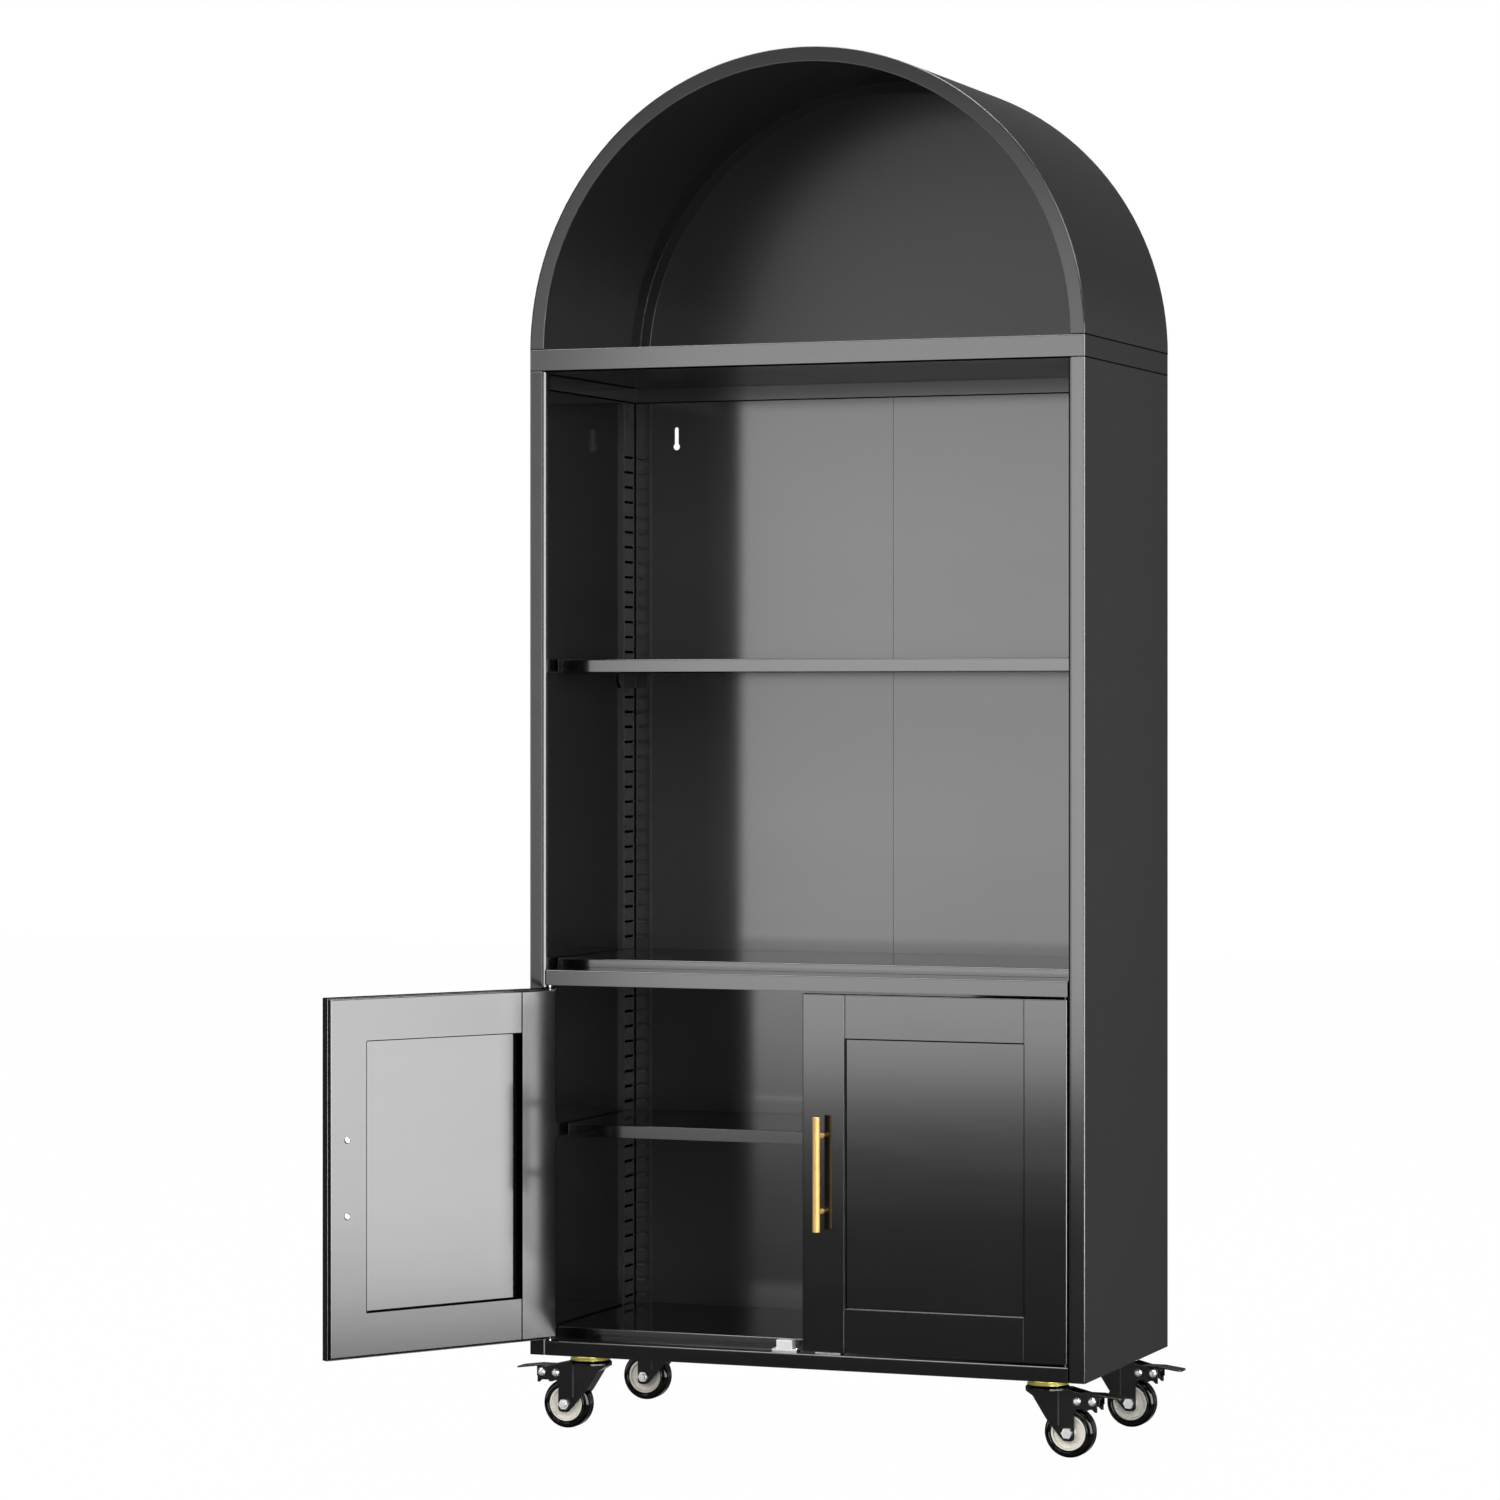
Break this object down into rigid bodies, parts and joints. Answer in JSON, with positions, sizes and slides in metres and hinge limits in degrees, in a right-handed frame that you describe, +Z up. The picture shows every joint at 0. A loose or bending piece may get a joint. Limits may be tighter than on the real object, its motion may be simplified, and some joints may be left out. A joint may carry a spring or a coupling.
{
  "type": "arched metal bookcase",
  "caption": "Tall black sheet-metal bookcase with a half-round arched top, open shelves, a two-door cupboard below and swivel casters with foot brakes.",
  "frame": {"origin": "on the floor under the middle of the cabinet's footprint", "axes": "+Z up, -Y out of the open front, +X to the right seen from the front"},
  "size_m": [1.0129, 0.7133, 1.893],
  "materials": {
    "arch_paint": "smooth black enamel with a soft gloss",
    "board_paint": "smooth black enamel with a soft gloss",
    "side_paint": "smooth black enamel with a soft gloss",
    "back_paint": "smooth black enamel",
    "rack_paint": "black enamel, thinner at the slots",
    "tray_paint": "smooth black enamel with a soft gloss",
    "shelf_paint": "smooth black enamel with a soft gloss",
    "clip_metal": "black enamel",
    "door_paint": "smooth black enamel with a high gloss",
    "fork_paint": "black lacquer on pressed steel",
    "gold_metal": "polished gold",
    "bright_steel": "bright plated steel",
    "white_plastic": "white moulded plastic",
    "tyre_black": "glossy black rubber",
    "cream_plastic": "cream moulded plastic",
    "yellow_zinc": "yellow passivated zinc"
  },
  "bodies": {
    "cabinet": {"arch_band": "arch_paint", "arch_back_panel": "arch_paint", "top_board": "board_paint", "top_board_underside": "board_paint", "top_rim": "board_paint", "side_panel_left": "side_paint", "side_panel_right": "side_paint", "back_panel_left": "back_paint", "back_panel_right": "back_paint", "rear_upright_left": "rack_paint", "rear_upright_right": "rack_paint", "front_upright_left": "rack_paint", "front_upright_right": "rack_paint", "mid_tray": "tray_paint", "base_tray": "tray_paint", "caster_channels": "tray_paint", "upper_shelf": "shelf_paint", "middle_shelf": "shelf_paint", "inner_shelf": "shelf_paint", "floor_shelf": "shelf_paint", "shelf_clips": "clip_metal", "catch_blocks": "white_plastic", "catch_feet": "bright_steel", "caster_plates": "fork_paint", "caster_races": "yellow_zinc", "caster_kingpins": "bright_steel", "caster_bolts": "fork_paint"},
    "left_door": {"door_left_skin": "door_paint", "door_left_frame": "door_paint", "door_left_handle_bar": "gold_metal", "door_left_handle_posts": "gold_metal", "door_left_handle_screws": "bright_steel", "door_left_pins": "bright_steel"},
    "right_door": {"door_right_skin": "door_paint", "door_right_frame": "door_paint", "door_right_handle_bar": "gold_metal", "door_right_handle_posts": "gold_metal", "door_right_handle_screws": "bright_steel", "door_right_pins": "bright_steel"},
    "caster_front_left": {"caster_front_left_fork": "fork_paint", "caster_front_left_pins": "bright_steel"},
    "wheel_front_left": {"caster_front_left_tyre": "tyre_black", "caster_front_left_wheel": "cream_plastic"},
    "brake_front_left": {"caster_front_left_brake": "fork_paint"},
    "caster_front_right": {"caster_front_right_fork": "fork_paint", "caster_front_right_pins": "bright_steel"},
    "wheel_front_right": {"caster_front_right_tyre": "tyre_black", "caster_front_right_wheel": "cream_plastic"},
    "brake_front_right": {"caster_front_right_brake": "fork_paint"},
    "caster_rear_left": {"caster_rear_left_fork": "fork_paint", "caster_rear_left_pins": "bright_steel"},
    "wheel_rear_left": {"caster_rear_left_tyre": "tyre_black", "caster_rear_left_wheel": "cream_plastic"},
    "brake_rear_left": {"caster_rear_left_brake": "fork_paint"},
    "caster_rear_right": {"caster_rear_right_fork": "fork_paint", "caster_rear_right_pins": "bright_steel"},
    "wheel_rear_right": {"caster_rear_right_tyre": "tyre_black", "caster_rear_right_wheel": "cream_plastic"},
    "brake_rear_right": {"caster_rear_right_brake": "fork_paint"}
  },
  "joints": [
    {"name": "left_door_hinge", "type": "hinge", "parent": "cabinet", "child": "left_door", "pos_m": [-0.3716, -0.1933, 0.1295], "axis": [0, 0, 1], "range_deg": [0, 121]},
    {"name": "right_door_hinge", "type": "hinge", "parent": "cabinet", "child": "right_door", "pos_m": [0.3716, -0.1933, 0.1295], "axis": [0, 0, 1], "range_deg": [0, 121]},
    {"name": "swivel_front_left", "type": "hinge", "parent": "cabinet", "child": "caster_front_left", "pos_m": [-0.332, -0.144, 0.0955], "axis": [0, 0, 1], "continuous": true},
    {"name": "roll_front_left", "type": "hinge", "parent": "caster_front_left", "child": "wheel_front_left", "pos_m": [-0.364, -0.144, 0.034], "axis": [0, 1, 0], "continuous": true},
    {"name": "press_front_left", "type": "hinge", "parent": "caster_front_left", "child": "brake_front_left", "pos_m": [-0.3774, -0.144, 0.077], "axis": [0, -1, 0], "range_deg": [0, 5]},
    {"name": "swivel_front_right", "type": "hinge", "parent": "cabinet", "child": "caster_front_right", "pos_m": [0.332, -0.144, 0.0955], "axis": [0, 0, 1], "continuous": true},
    {"name": "roll_front_right", "type": "hinge", "parent": "caster_front_right", "child": "wheel_front_right", "pos_m": [0.364, -0.144, 0.034], "axis": [0, 1, 0], "continuous": true},
    {"name": "press_front_right", "type": "hinge", "parent": "caster_front_right", "child": "brake_front_right", "pos_m": [0.3774, -0.144, 0.077], "axis": [0, 1, 0], "range_deg": [0, 5]},
    {"name": "swivel_rear_left", "type": "hinge", "parent": "cabinet", "child": "caster_rear_left", "pos_m": [-0.332, 0.144, 0.0955], "axis": [0, 0, 1], "continuous": true},
    {"name": "roll_rear_left", "type": "hinge", "parent": "caster_rear_left", "child": "wheel_rear_left", "pos_m": [-0.364, 0.144, 0.034], "axis": [0, 1, 0], "continuous": true},
    {"name": "press_rear_left", "type": "hinge", "parent": "caster_rear_left", "child": "brake_rear_left", "pos_m": [-0.3774, 0.144, 0.077], "axis": [0, -1, 0], "range_deg": [0, 5]},
    {"name": "swivel_rear_right", "type": "hinge", "parent": "cabinet", "child": "caster_rear_right", "pos_m": [0.332, 0.144, 0.0955], "axis": [0, 0, 1], "continuous": true},
    {"name": "roll_rear_right", "type": "hinge", "parent": "caster_rear_right", "child": "wheel_rear_right", "pos_m": [0.364, 0.144, 0.034], "axis": [0, 1, 0], "continuous": true},
    {"name": "press_rear_right", "type": "hinge", "parent": "caster_rear_right", "child": "brake_rear_right", "pos_m": [0.3774, 0.144, 0.077], "axis": [0, 1, 0], "range_deg": [0, 5]}
  ]
}
